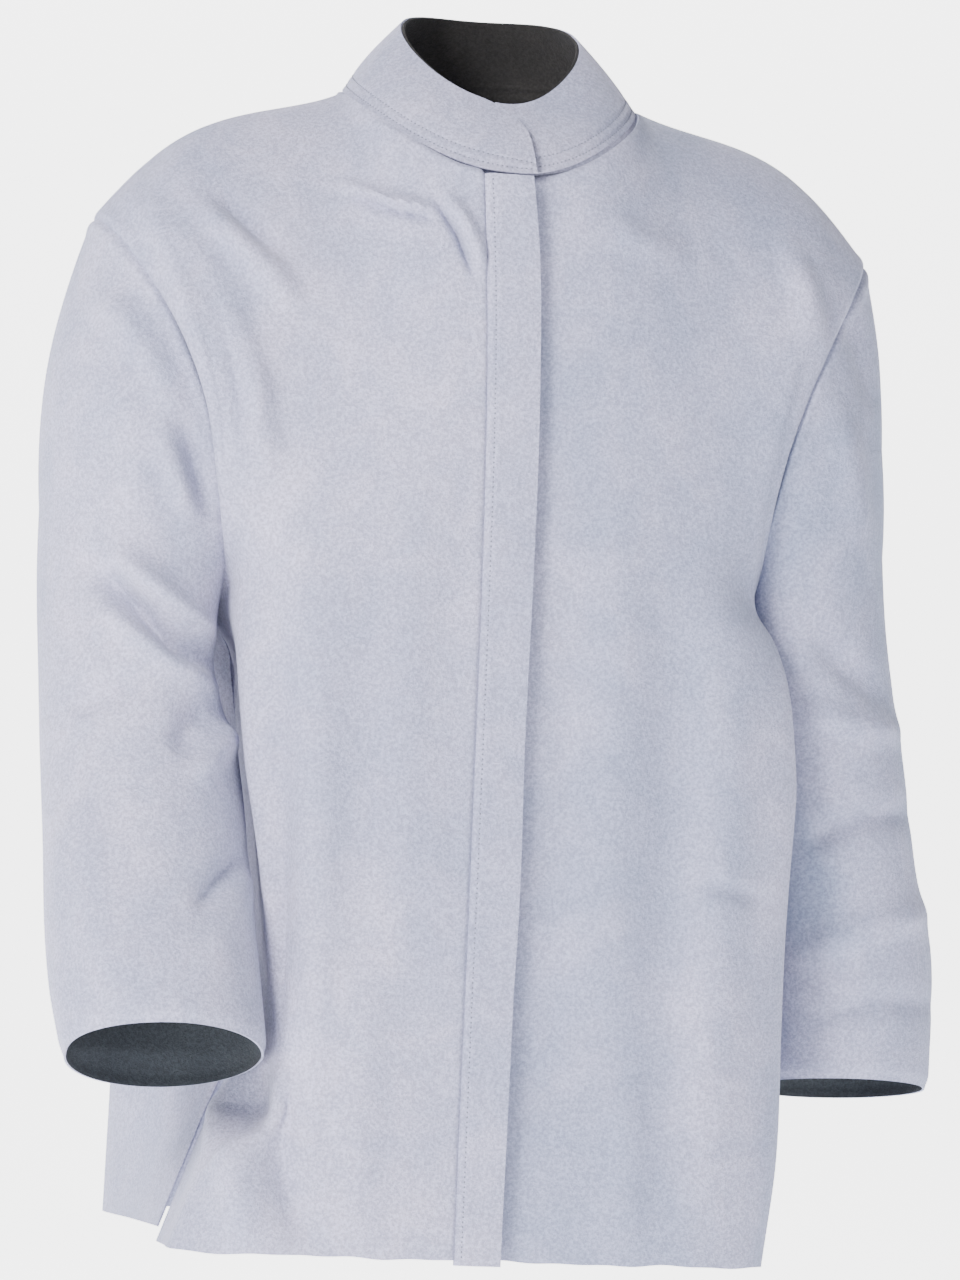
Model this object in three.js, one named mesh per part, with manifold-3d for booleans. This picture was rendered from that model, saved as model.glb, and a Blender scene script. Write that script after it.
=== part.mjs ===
// A suede split-leather welding jacket on a standing figure, in millimetres.
// +Z is up, -Y is the jacket's front and +X the wearer's left. The origin is at the middle of
// the neck opening, level with the neck seam at the back.
import * as THREE from 'three';
import { mergeVertices } from 'three/addons/utils/BufferGeometryUtils.js';
import Module from 'manifold-3d';

const wasm = await Module();
wasm.setup();
const { lerp, smoothstep, degToRad } = THREE.MathUtils;

// Leather and seams
const LEATHER = 1.4; // thickness of one layer
const LAYER_GAP = 0.3; // room between two layers that lie on each other
const SEAM_GAP = 0.7; // room between two panels sewn edge to edge
const ARMHOLE_GAP = LEATHER + 1; // room between the body and a sleeve at the armhole

// Body
const BODY_LENGTH = 765; // neck seam at the back to the front hem
const BACK_HEM_RISE = 10; // the back is cut this much shorter
const HEM_HALF_WIDTH = 196;
const FRONT_HEM_Y = -150;
const FRONT_BULGE = 10; // how far the chest stands out from a straight front line
const BACK_HEM_Y = 137;

// Neck opening
const NECK_HALF_WIDTH = 98;
const NECK_FRONT_Y = -112;
const NECK_BACK_Y = 84;
const NECK_DROP = 62; // the front of the neck seam lies this much lower than its back

// Collar
const COLLAR_HEIGHT = 53; // at the back
const COLLAR_TOP_DROP = 58; // its top edge is cut this much lower at the front
const COLLAR_TOP_HALF_WIDTH = 60;
const COLLAR_TOP_FRONT_Y = -74;
const COLLAR_TOP_BACK_Y = 58;
const COLLAR_OVERLAP = degToRad(8); // the right end passes the middle by this angle
const COLLAR_CORNER = 17; // radius of the right end's top corner

// Shoulders and armholes
const SHOULDER_REACH = { right: 260, left: 260 };
const SHOULDER_DROP = 100;
const SHOULDER_RISE = 24; // how far the shoulder seam bows up past a straight line
const ARMHOLE_HEIGHT = 252;
const ARMHOLE_DEPTH = 180;
const ARMHOLE_Y = -10;
const UNDERARM_X = { right: 175, left: 185 };
const ARMHOLE_SCOOP = { right: 26, left: 26 }; // how far its front and back edges are cut in

// Front closure
const SEAM_X = -17; // the seam that joins the placket to the right front
const PLACKET_WIDTH = 34;
const PLACKET_TAPER = 4; // it is narrower than that at the neck and at the hem
const INNER_LAYER_INSET = 4;
const PLACKET_DROP = 3; // it hangs this much below the fronts
const LEFT_EDGE_X = -12; // the left front's own edge, under the placket
const UNDERLAP_FADE = 100; // how far from the edge the left front comes level again

// Snap fasteners under the placket
const SNAP_COUNT = 5;
const SNAP_X = 1;
const SNAP_FIRST = 42; // below the neck seam
const SNAP_LAST = 95; // above the hem
const CAP_RADIUS = 6;
const CAP_THICKNESS = 0.9;
const BARREL_RADIUS = 1.5;
const BARREL_CLEARANCE = 0.4;
const SOCKET_RADIUS = 5.6;
const SOCKET_HEIGHT = 2.4;
const STUD_RADIUS = 1.9;
const STUD_HEIGHT = 1.1;
const STUD_CLEARANCE = 0.9;
const STUD_BASE_RADIUS = 5;
const STUD_BASE = 0.8;
const SNAP_SEGMENTS = 12;

// Sleeves: centre, half width and half depth at a few heights, and the tilt of a cut across
const SLEEVE_CLEARANCE = 6; // room between a sleeve and the body beside it
const SLEEVE_EASE = 6; // fullness of the sleeve's head past a straight line
const SLEEVE_CAP_SHARE = 0.35; // the armhole's outline has become a round sleeve by here
const SLEEVES = {
  right: {
    side: -1,
    height: [-641, -600, -500, -400, -320, -225],
    x: [208, 213, 219, 224, 218, 208],
    y: [-122, -112, -76, -42, -20, -12],
    halfWidth: [67, 68, 66, 63, 69, 77],
    halfDepth: [58, 59, 62, 68, 78, 88],
    cuffTilt: degToRad(22),
  },
  left: {
    side: 1,
    height: [-651, -560, -500, -405, -320, -225],
    x: [264, 261, 247, 230, 212, 200],
    y: [-22, -24, -25, -24, -16, -12],
    halfWidth: [62, 62, 62, 63, 70, 72],
    halfDepth: [58, 59, 61, 66, 78, 88],
    cuffTilt: degToRad(9),
  },
};

// Facets: a panel's rows and a sleeve's columns meet corner to corner at the armhole
const PANEL_ROWS = 25;
const ARMHOLE_ROWS = 10;
const FRONT_COLUMNS = 12;
const FACING_COLUMNS = 2; // the facing behind the left front's edge is this many of them wide

// Body panels from neck to hem, by the share of their length
const ARMHOLE_SHARE = ARMHOLE_ROWS / PANEL_ROWS; // the underarm lies this far down a panel
const NECK_SHARE = 0.4; // the neck seam takes this much of a panel's top edge
const ROLL_SHARE = 0.28; // the shoulder rounds over into the body within this much
const SIDE_LEVELS = [0.4, 0.46, 0.54, 0.65, 0.78, 0.9, 1];
const SIDE_X = {
  right: [UNDERARM_X.right, 160, 150, 144, 138, 168, HEM_HALF_WIDTH - 2],
  left: [UNDERARM_X.left, 166, 156, 166, 180, 188, HEM_HALF_WIDTH - 4],
};
// Below the armhole a panel turns a rounded corner here, out from the middle
const CORNER_LEVELS = [0.3, 0.4, 0.54, 0.65, 0.78, 0.9, 1];
const FRONT_CORNER_X = {
  right: [180, 172, 160, 152, 148, 172, HEM_HALF_WIDTH - 2],
  left: [190, 183, 206, 204, 203, 202, HEM_HALF_WIDTH - 2],
};
const BACK_CORNER_X = {
  right: [190, 190, 196, 200, 203, 205, HEM_HALF_WIDTH + 10],
  left: [190, 184, 198, 202, 204, 205, HEM_HALF_WIDTH + 8],
};
const ACROSS = [0, 0.35, 0.62, 0.8, 0.9, 1]; // shares of a panel's width where its section bends
const SIDE_SEAM_HEM_Y = -50;

// What follows from them
const FRONT_HEM_Z = -BODY_LENGTH;
const BACK_HEM_Z = BACK_HEM_RISE - BODY_LENGTH;
const NECK_FRONT_Z = -NECK_DROP;
const UNDERARM_Z = -SHOULDER_DROP - ARMHOLE_HEIGHT;
const CAP_DEPTH = LEATHER / 2 + LAYER_GAP;
const INNER_DEPTH = CAP_DEPTH + CAP_THICKNESS + LAYER_GAP + LEATHER / 2;
const SOCKET_DEPTH = INNER_DEPTH + LEATHER / 2 + LAYER_GAP;
const STUD_BASE_DEPTH = SOCKET_DEPTH + SOCKET_HEIGHT + LAYER_GAP;
const LEFT_DEPTH = STUD_BASE_DEPTH + STUD_BASE + LAYER_GAP + LEATHER / 2;
const FACING_DEPTH = LEFT_DEPTH + LEATHER + LAYER_GAP;
const POST_DEPTH = FACING_DEPTH + LEATHER / 2 + 3 * LAYER_GAP;

// A value that runs smoothly through a few keys.
function through(places, values, place) {
  const last = places.length - 1;
  const at = THREE.MathUtils.clamp(place, places[0], places[last]);
  let i = 0;
  while (i < last - 1 && at > places[i + 1]) i += 1;
  const slope = (k) => {
    const a = Math.max(k - 1, 0);
    const b = Math.min(k + 1, last);
    return (values[b] - values[a]) / (places[b] - places[a]);
  };
  const width = places[i + 1] - places[i];
  const t = (at - places[i]) / width;
  const start = values[i] * (1 + 2 * t) * (1 - t) ** 2 + slope(i) * width * t * (1 - t) ** 2;
  const end = values[i + 1] * t * t * (3 - 2 * t) - slope(i + 1) * width * t * t * (1 - t);
  return start + end;
}

// The front's middle line leans forwards and stands out a little at the chest.
function frontLineY(z) {
  const t = (z - NECK_FRONT_Z) / (FRONT_HEM_Z - NECK_FRONT_Z);
  const bulge = FRONT_BULGE * Math.sin(Math.PI * THREE.MathUtils.clamp(t, 0, 1) ** 0.7);
  return lerp(NECK_FRONT_Y, FRONT_HEM_Y, t) - bulge;
}

function frontLineNormal(z) {
  const step = 5;
  const slope = (frontLineY(z + step) - frontLineY(z - step)) / (2 * step);
  return new THREE.Vector3(0, 1, -slope).normalize();
}

// The neck seam. The angle is 0 at the front and grows towards the wearer's left.
function neckSeam(angle) {
  const forward = Math.cos(angle);
  const middle = (NECK_FRONT_Y + NECK_BACK_Y) / 2;
  const reach = (NECK_BACK_Y - NECK_FRONT_Y) / 2;
  const drop = NECK_DROP * ((1 + forward) / 2) ** 3;
  return new THREE.Vector3(NECK_HALF_WIDTH * Math.sin(angle), middle - reach * forward, -drop);
}

const SHOULDER_ANGLE = degToRad(95);

// The armhole seam. The angle is 0 at the shoulder, grows forwards and is pi at the underarm.
function armholeSeam(name, angle) {
  const middle = (SHOULDER_REACH[name] + UNDERARM_X[name]) / 2;
  const lean = (SHOULDER_REACH[name] - UNDERARM_X[name]) / 2;
  const x = middle + lean * Math.cos(angle) - ARMHOLE_SCOOP[name] * Math.sin(angle) ** 2;
  return new THREE.Vector3(
    SLEEVES[name].side * x,
    ARMHOLE_Y - (ARMHOLE_DEPTH / 2) * Math.sin(angle),
    -SHOULDER_DROP - (ARMHOLE_HEIGHT / 2) * (1 - Math.cos(angle)),
  );
}

// A sleeve's section at a height.
function sleeveAt(name, z) {
  const sleeve = SLEEVES[name];
  const value = (key) => through(sleeve.height, sleeve[key], z);
  return { x: value('x'), y: value('y'), halfWidth: value('halfWidth'), halfDepth: value('halfDepth') };
}

// Pushes a point of the body out of the room that the sleeve beside it needs.
function clearOfSleeve(name, point) {
  const sleeve = SLEEVES[name];
  const cuffZ = sleeve.height[0];
  const above = smoothstep(-point.z, SHOULDER_DROP + ARMHOLE_HEIGHT / 2, -UNDERARM_Z - 40);
  const below = 1 - smoothstep(-point.z, 30 - cuffZ, 110 - cuffZ);
  const share = above * below;
  if (share < 0.01) return point;
  const at = sleeveAt(name, point.z);
  const dx = (sleeve.side * point.x - at.x) / ((at.halfWidth + SLEEVE_CLEARANCE) * share);
  const dy = (point.y - at.y) / ((at.halfDepth + SLEEVE_CLEARANCE) * share);
  const distance = Math.hypot(dx, dy);
  const stretch = (1 + distance ** -10) ** (1 / 10);
  const x = at.x + (sleeve.side * point.x - at.x) * stretch;
  return new THREE.Vector3(sleeve.side * x, at.y + (point.y - at.y) * stretch, point.z);
}

// A body panel's outer edge: the armhole down to the underarm, then the side seam.
function sideEdge(name, facing, v, hemZ) {
  if (v <= ARMHOLE_SHARE) return armholeSeam(name, (facing * Math.PI * v) / ARMHOLE_SHARE);
  const t = (v - ARMHOLE_SHARE) / (1 - ARMHOLE_SHARE);
  const x = through(SIDE_LEVELS, SIDE_X[name], v);
  const y = lerp(ARMHOLE_Y, SIDE_SEAM_HEM_Y, t);
  return new THREE.Vector3(SLEEVES[name].side * x, y, lerp(UNDERARM_Z, hemZ, t));
}

// A body panel's top edge: the neck seam, then the shoulder seam.
function topEdge(name, startAngle, u) {
  const side = SLEEVES[name].side;
  if (u <= NECK_SHARE) {
    return neckSeam(side * lerp(startAngle, SHOULDER_ANGLE, u / NECK_SHARE));
  }
  const t = (u - NECK_SHARE) / (1 - NECK_SHARE);
  const seam = neckSeam(side * SHOULDER_ANGLE).lerp(armholeSeam(name, 0), t);
  seam.z += SHOULDER_RISE * Math.sin(Math.PI * t);
  return seam;
}

// A body panel's middle surface. u runs from its middle edge to its side, v from neck to hem.
function bodyPoint(name, facing, startAngle, middleAt, cornerX, hemZ, u, v) {
  const side = SLEEVES[name].side;
  const row = (level) => {
    const middle = middleAt(level);
    const edge = sideEdge(name, facing, level, hemZ);
    const edgeX = side * edge.x;
    const below = smoothstep(level, 0.3, 0.47);
    const corner = lerp(0.935 * edgeX, through(CORNER_LEVELS, cornerX, level), below);
    const cornerY = lerp(lerp(middle.y, edge.y, 0.5), middle.y + facing * 36, below);
    const lastX = lerp(0.975 * edgeX, lerp(corner, edgeX, 0.55), below);
    const lastY = lerp(lerp(middle.y, edge.y, 0.78), lerp(cornerY, edge.y, 0.5), below);
    const across = [side * middle.x, 0.5 * corner, 0.83 * corner, corner, lastX, edgeX];
    const depth = [middle.y, middle.y + facing, middle.y + facing * 9, cornerY, lastY, edge.y];
    const down = ACROSS.map((share) => lerp(middle.z, edge.z, Math.min(1, 1.15 * share)));
    return new THREE.Vector3(
      side * through(ACROSS, across, u),
      through(ACROSS, depth, u),
      through(ACROSS, down, u),
    );
  };
  const point = row(v);
  if (v < ROLL_SHARE) {
    const t = v / ROLL_SHARE;
    const toTop = topEdge(name, startAngle, u).sub(row(0));
    point.x += toTop.x * (1 - t) ** 2;
    point.y += (toTop.y - facing * SEAM_GAP / 2) * (1 - Math.sqrt(1 - (1 - t) ** 2));
    point.z += toTop.z * (1 - t) ** 2;
  }
  const sewn = 1 - smoothstep(v, ARMHOLE_SHARE, ARMHOLE_SHARE + 0.04);
  const free = 1 - sewn * smoothstep(u, 0.62, 1);
  return point.lerp(clearOfSleeve(name, point), free);
}

function frontMiddle(x) {
  return (v) => {
    const z = lerp(NECK_FRONT_Z, FRONT_HEM_Z, v);
    return new THREE.Vector3(x, frontLineY(z), z);
  };
}

function backMiddle(v) {
  const z = lerp(0, BACK_HEM_Z, v);
  return new THREE.Vector3(0, through([0, 0.08, 0.26, 0.46, 1], [NECK_BACK_Y, 100, 127, 133, BACK_HEM_Y], v), z);
}

function rightFront(u, v) {
  const start = Math.asin(-SEAM_X / NECK_HALF_WIDTH);
  return bodyPoint('right', 1, start, frontMiddle(SEAM_X), FRONT_CORNER_X.right, FRONT_HEM_Z, u, v);
}

// The left front runs under the placket, so its edge is set back by the layers over it.
function leftFront(u, v) {
  const start = Math.asin(LEFT_EDGE_X / NECK_HALF_WIDTH);
  const middle = frontMiddle(LEFT_EDGE_X);
  const point = bodyPoint('left', 1, start, middle, FRONT_CORNER_X.left, FRONT_HEM_Z, u, v);
  const depth = LEFT_DEPTH * (1 - smoothstep(point.x, SNAP_X + CAP_RADIUS, UNDERLAP_FADE));
  return point.addScaledVector(frontLineNormal(point.z), depth);
}

function back(u, v) {
  const name = u < 0 ? 'right' : 'left';
  const across = Math.abs(u);
  const cornerX = BACK_CORNER_X[name];
  return bodyPoint(name, -1, Math.PI, backMiddle, cornerX, BACK_HEM_Z, across, v);
}

// A sleeve's middle surface, round from the outside to the front, down from armhole to cuff.
function sleevePoint(name, around, v) {
  const sleeve = SLEEVES[name];
  const angle = around * 2 * Math.PI;
  const start = armholeSeam(name, angle);
  const cuff = sleeveAt(name, sleeve.height[0]);
  const cuffZ = sleeve.height[0] + cuff.halfDepth * Math.sin(angle) * Math.tan(sleeve.cuffTilt);
  const z = lerp(start.z, cuffZ, v);
  const at = sleeveAt(name, z);
  const x = sleeve.side * (at.x + at.halfWidth * Math.cos(angle));
  const y = at.y - at.halfDepth * Math.sin(angle);
  const inCap = Math.min(v / SLEEVE_CAP_SHARE, 1);
  const share = 1 - (1 - inCap) ** 2;
  const ease = sleeve.side * SLEEVE_EASE * Math.sin(Math.PI * inCap);
  const clear = sleeve.side * ARMHOLE_GAP;
  return new THREE.Vector3(lerp(start.x, x, share) + ease + clear, lerp(start.y, y, share), z);
}

// The collar's middle surface, from its right end round the back to its left end, and up.
function collarPoint(c, v) {
  const angle = lerp(COLLAR_OVERLAP, -2 * Math.PI - COLLAR_OVERLAP, c);
  const lean = (NECK_HALF_WIDTH - COLLAR_TOP_HALF_WIDTH) / COLLAR_HEIGHT;
  const underEnd = 2 * LEATHER + 5 * LAYER_GAP;
  const tuck = underEnd * smoothstep(c, 0.72, 0.9) * Math.hypot(1, lean);
  const base = neckSeam(angle);
  const middle = (COLLAR_TOP_FRONT_Y + COLLAR_TOP_BACK_Y) / 2;
  const reach = (COLLAR_TOP_BACK_Y - COLLAR_TOP_FRONT_Y) / 2;
  const top = new THREE.Vector3(
    COLLAR_TOP_HALF_WIDTH * Math.sin(angle),
    middle - reach * Math.cos(angle),
    COLLAR_HEIGHT - COLLAR_TOP_DROP * ((1 + Math.cos(angle)) / 2) ** 1.6,
  );
  const point = base.lerp(top, v);
  point.x -= tuck * Math.sin(angle);
  point.y += tuck * Math.cos(angle);
  point.z += COLLAR_LIFT;
  return point;
}
const COLLAR_LIFT = LEATHER + SEAM_GAP;

// The right end's top corner is cut round.
function collarTop(c) {
  const girth = Math.PI * 2 * COLLAR_TOP_HALF_WIDTH;
  const fromEnd = THREE.MathUtils.clamp(c * girth, 0, COLLAR_CORNER);
  const drop = COLLAR_CORNER - Math.sqrt(COLLAR_CORNER ** 2 - (COLLAR_CORNER - fromEnd) ** 2);
  return 1 - drop / (COLLAR_HEIGHT - COLLAR_TOP_DROP + NECK_DROP);
}

// The direction square to a surface, from points a short step to each side.
function normalAt(surface, u, v, ring = false) {
  const step = 1e-4;
  const acrossU = (place) => surface(ring ? place : THREE.MathUtils.clamp(place, -1, 1), v);
  const alongU = acrossU(u + step).sub(acrossU(u - step));
  const alongV = surface(u, Math.min(v + step, 1)).sub(surface(u, Math.max(v - step, 0)));
  return alongU.cross(alongV).normalize();
}

// The surface that lies this deep behind another.
function behind(surface, depth) {
  return (u, v) => surface(u, v).addScaledVector(normalAt(surface, u, v), depth);
}

// A closed shell of even thickness about a surface; a ring closes on itself along u.
function shell(surface, columns, rows, ring = false) {
  const across = ring ? columns : columns + 1;
  const positions = [];
  for (const half of [0.5, -0.5]) {
    for (let j = 0; j <= rows; j += 1) {
      for (let i = 0; i < across; i += 1) {
        const u = i / columns;
        const v = j / rows;
        const normal = normalAt(surface, u, v, ring);
        const point = surface(u, v).addScaledVector(normal, half * LEATHER);
        positions.push(point.x, point.y, point.z);
      }
    }
  }
  const skin = across * (rows + 1);
  const at = (layer, i, j) => layer * skin + j * across + (i % across);
  const index = [];
  const quad = (a, b, c, d) => index.push(a, b, c, a, c, d);
  for (let j = 0; j < rows; j += 1) {
    for (let i = 0; i < columns; i += 1) {
      quad(at(0, i, j), at(0, i + 1, j), at(0, i + 1, j + 1), at(0, i, j + 1));
      quad(at(1, i, j + 1), at(1, i + 1, j + 1), at(1, i + 1, j), at(1, i, j));
    }
  }
  for (let i = 0; i < columns; i += 1) {
    quad(at(1, i, 0), at(1, i + 1, 0), at(0, i + 1, 0), at(0, i, 0));
    quad(at(0, i, rows), at(0, i + 1, rows), at(1, i + 1, rows), at(1, i, rows));
  }
  for (let j = 0; j < rows && !ring; j += 1) {
    quad(at(0, 0, j), at(0, 0, j + 1), at(1, 0, j + 1), at(1, 0, j));
    quad(at(1, columns, j), at(1, columns, j + 1), at(0, columns, j + 1), at(0, columns, j));
  }
  const geometry = new THREE.BufferGeometry();
  geometry.setAttribute('position', new THREE.Float32BufferAttribute(positions, 3));
  geometry.setIndex(index);
  return facingOut(geometry);
}

// Turns a closed geometry's triangles round if they face inwards.
function facingOut(geometry) {
  const place = geometry.getAttribute('position');
  const index = geometry.getIndex().array;
  const corner = (k) => new THREE.Vector3().fromBufferAttribute(place, index[k]);
  let volume = 0;
  for (let k = 0; k < index.length; k += 3) {
    volume += corner(k).dot(corner(k + 1).cross(corner(k + 2)));
  }
  if (volume < 0) index.reverse();
  return geometry;
}

function toSolid(geometry) {
  const bare = geometry.clone();
  bare.deleteAttribute('normal');
  bare.deleteAttribute('uv');
  const merged = mergeVertices(bare, 1e-4);
  return new wasm.Manifold(new wasm.Mesh({
    numProp: 3,
    vertProperties: new Float32Array(merged.getAttribute('position').array),
    triVerts: new Uint32Array(merged.getIndex().array),
  }));
}

// Cuts the other geometries out of the first.
function cut(geometry, tools) {
  const solid = tools.reduce((rest, tool) => rest.subtract(toSolid(tool)), toSolid(geometry));
  const mesh = solid.getMesh();
  const result = new THREE.BufferGeometry();
  result.setAttribute('position', new THREE.Float32BufferAttribute(mesh.vertProperties, 3));
  result.setIndex(Array.from(mesh.triVerts));
  return result;
}

// Keeps a panel's sewn edges clear of their neighbours, by a length along the surface.
function trimmed(surface, uFrom, uTo, vFrom, vTo) {
  return (u, v) => surface(lerp(uFrom, uTo, u), lerp(vFrom, vTo, v));
}

const jacket = new THREE.Group();

function add(parent, name, geometry, colour, roughness, metalness = 0) {
  const material = new THREE.MeshStandardMaterial({ color: colour, roughness, metalness });
  const mesh = new THREE.Mesh(geometry, material);
  mesh.name = name;
  parent.add(mesh);
  return mesh;
}

const SUEDE = 0xc6cad6;
const SUEDE_INSIDE = 0x5c5a58;
const STEEL = 0xb9bcc0;

// A place in the layers of the closure: x across, z up, and how deep under the placket's face.
function inClosure(x, z, depth) {
  return new THREE.Vector3(x, frontLineY(z), z).addScaledVector(frontLineNormal(z), depth);
}

const snapHeights = [];
for (let k = 0; k < SNAP_COUNT; k += 1) {
  snapHeights.push(lerp(NECK_FRONT_Z - SNAP_FIRST, FRONT_HEM_Z + SNAP_LAST, k / (SNAP_COUNT - 1)));
}

function atSnap(geometry, z) {
  const normal = frontLineNormal(z);
  geometry.rotateX(Math.atan2(normal.z, normal.y));
  const place = inClosure(SNAP_X, z, 0);
  return geometry.translate(place.x, place.y, place.z);
}

// A turned piece from (radius, depth) pairs, its axis pointing into the jacket.
function turned(profile) {
  const points = profile.map(([radius, depth]) => new THREE.Vector2(radius, depth));
  return new THREE.LatheGeometry(points, SNAP_SEGMENTS);
}

// The holes for the snaps' barrels.
function barrelHoles(depth) {
  const from = depth - 2 * LEATHER;
  const to = depth + 2 * LEATHER;
  const radius = BARREL_RADIUS + BARREL_CLEARANCE;
  return snapHeights.map((z) => atSnap(turned([[0, from], [radius, from], [radius, to], [0, to]]), z));
}

// Body panels
const rowLength = 300;
const sideInset = 1 - SEAM_GAP / rowLength;
add(jacket, 'back_panel', shell(
  trimmed(back, -sideInset, sideInset, 0, 1), 20, PANEL_ROWS), SUEDE, 0.95);
add(jacket, 'right_front_panel', shell(
  trimmed(rightFront, 0, sideInset, 0, 1), FRONT_COLUMNS, PANEL_ROWS), SUEDE, 0.95);
add(jacket, 'left_front_panel', cut(
  shell(trimmed(leftFront, 0, sideInset, 0, 1), FRONT_COLUMNS, PANEL_ROWS),
  barrelHoles(LEFT_DEPTH)), SUEDE, 0.95);

// Sleeves
for (const name of ['right', 'left']) {
  const surface = (u, v) => sleevePoint(name, u, v);
  add(jacket, `${name}_sleeve`, shell(surface, ARMHOLE_ROWS * 2, 12, true), SUEDE, 0.95);
}

// Stand collar: an outer layer and its lining
const collar = (c, v) => collarPoint(c, v * collarTop(c));
const lining = behind(collar, LEATHER + 2 * LAYER_GAP);
add(jacket, 'collar_outer', shell(collar, 44, 2), SUEDE, 0.95);
add(jacket, 'collar_lining', shell(lining, 44, 2), SUEDE_INSIDE, 0.95);

// Placket: an outer strip, and an inner one that carries the snaps
function placketStrip(depth, inset) {
  const topZ = NECK_FRONT_Z - SEAM_GAP;
  const bottomZ = FRONT_HEM_Z - PLACKET_DROP;
  return (u, v) => {
    const z = lerp(topZ, bottomZ, v);
    const taper = PLACKET_TAPER * (1 - Math.sin(Math.PI * Math.min(v * 1.2, 1) ** 0.8));
    const from = SEAM_X + SEAM_GAP;
    const to = SEAM_X + PLACKET_WIDTH - taper - inset;
    return inClosure(lerp(from, to, u), z, depth);
  };
}
add(jacket, 'placket_outer', shell(placketStrip(0, 0), 3, 20), SUEDE, 0.95);
add(jacket, 'placket_inner', cut(
  shell(placketStrip(INNER_DEPTH, INNER_LAYER_INSET), 3, 20),
  barrelHoles(INNER_DEPTH)), SUEDE, 0.95);

// Facing behind the left front's edge
const facingShare = (sideInset * FACING_COLUMNS) / FRONT_COLUMNS;
const facing = behind(leftFront, FACING_DEPTH - LEFT_DEPTH);
add(jacket, 'left_front_facing', cut(
  shell(trimmed(facing, 0, facingShare, 0, 1), FACING_COLUMNS, PANEL_ROWS),
  barrelHoles(FACING_DEPTH)), SUEDE, 0.95);

// Snap fasteners
snapHeights.forEach((z, k) => {
  const piece = (name, profile) => {
    add(jacket, `snap_${name}_${k + 1}`, atSnap(turned(profile), z), STEEL, 0.35, 0.9);
  };
  const holeRadius = BARREL_RADIUS + BARREL_CLEARANCE;
  const cavity = STUD_RADIUS + STUD_CLEARANCE;
  const barrelEnd = SOCKET_DEPTH + SOCKET_HEIGHT - STUD_HEIGHT - 2 * LAYER_GAP;
  piece('cap', [
    [0, CAP_DEPTH], [CAP_RADIUS, CAP_DEPTH], [CAP_RADIUS, CAP_DEPTH + CAP_THICKNESS],
    [BARREL_RADIUS, CAP_DEPTH + CAP_THICKNESS], [BARREL_RADIUS, barrelEnd], [0, barrelEnd],
  ]);
  const socketEnd = SOCKET_DEPTH + SOCKET_HEIGHT;
  const shelf = socketEnd - STUD_HEIGHT - LAYER_GAP;
  piece('socket', [
    [holeRadius, SOCKET_DEPTH], [SOCKET_RADIUS, SOCKET_DEPTH], [SOCKET_RADIUS, socketEnd],
    [cavity, socketEnd], [cavity, shelf], [holeRadius, shelf], [holeRadius, SOCKET_DEPTH],
  ]);
  const studTop = socketEnd - STUD_HEIGHT + LAYER_GAP;
  const studEnd = STUD_BASE_DEPTH + STUD_BASE;
  piece('stud', [
    [0, studTop], [STUD_RADIUS, studTop], [STUD_RADIUS, STUD_BASE_DEPTH],
    [STUD_BASE_RADIUS, STUD_BASE_DEPTH], [STUD_BASE_RADIUS, studEnd], [0, studEnd],
  ]);
  const postEnd = POST_DEPTH + CAP_THICKNESS;
  piece('post', [
    [0, studEnd + LAYER_GAP], [BARREL_RADIUS, studEnd + LAYER_GAP], [BARREL_RADIUS, POST_DEPTH],
    [SOCKET_RADIUS, POST_DEPTH], [SOCKET_RADIUS, postEnd], [0, postEnd],
  ]);
});

export default jacket;
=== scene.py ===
import math

import bpy
import numpy as np
from mathutils import Matrix, Vector


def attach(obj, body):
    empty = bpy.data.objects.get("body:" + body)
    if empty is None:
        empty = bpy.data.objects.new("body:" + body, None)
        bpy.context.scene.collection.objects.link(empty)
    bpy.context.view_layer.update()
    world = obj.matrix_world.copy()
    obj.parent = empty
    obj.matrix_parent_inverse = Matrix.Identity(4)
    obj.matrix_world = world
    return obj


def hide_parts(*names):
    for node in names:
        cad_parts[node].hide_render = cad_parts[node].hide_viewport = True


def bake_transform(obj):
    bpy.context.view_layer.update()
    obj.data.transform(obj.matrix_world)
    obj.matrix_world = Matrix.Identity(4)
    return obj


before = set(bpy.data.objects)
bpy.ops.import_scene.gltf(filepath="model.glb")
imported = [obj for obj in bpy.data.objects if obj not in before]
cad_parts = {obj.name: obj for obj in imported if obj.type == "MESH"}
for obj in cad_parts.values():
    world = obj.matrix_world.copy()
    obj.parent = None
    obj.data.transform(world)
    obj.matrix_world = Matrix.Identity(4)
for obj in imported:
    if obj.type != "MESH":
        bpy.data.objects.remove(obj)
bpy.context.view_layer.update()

# Camera and studio. A long lens looks at the jacket from a little to the wearer's right, level
# with its middle and rolled slightly, in front of a plain pale backdrop.
AIM = Vector((0.0, 0.0, -0.385))
AZIMUTH = math.radians(-12.0)
ELEVATION = math.radians(-1.07)
ROLL = math.radians(2.6)
DISTANCE = 4.7
LENS = 132.7
LOOK_RIGHT = 0.0139
LOOK_UP = 0.0212

toward_camera = Vector((
    math.sin(AZIMUTH) * math.cos(ELEVATION),
    -math.cos(AZIMUTH) * math.cos(ELEVATION),
    math.sin(ELEVATION),
))
level_right = Vector((math.cos(AZIMUTH), math.sin(AZIMUTH), 0))
level_up = toward_camera.cross(level_right)
picture_right = level_right * math.cos(ROLL) + level_up * math.sin(ROLL)
picture_up = level_up * math.cos(ROLL) - level_right * math.sin(ROLL)

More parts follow.
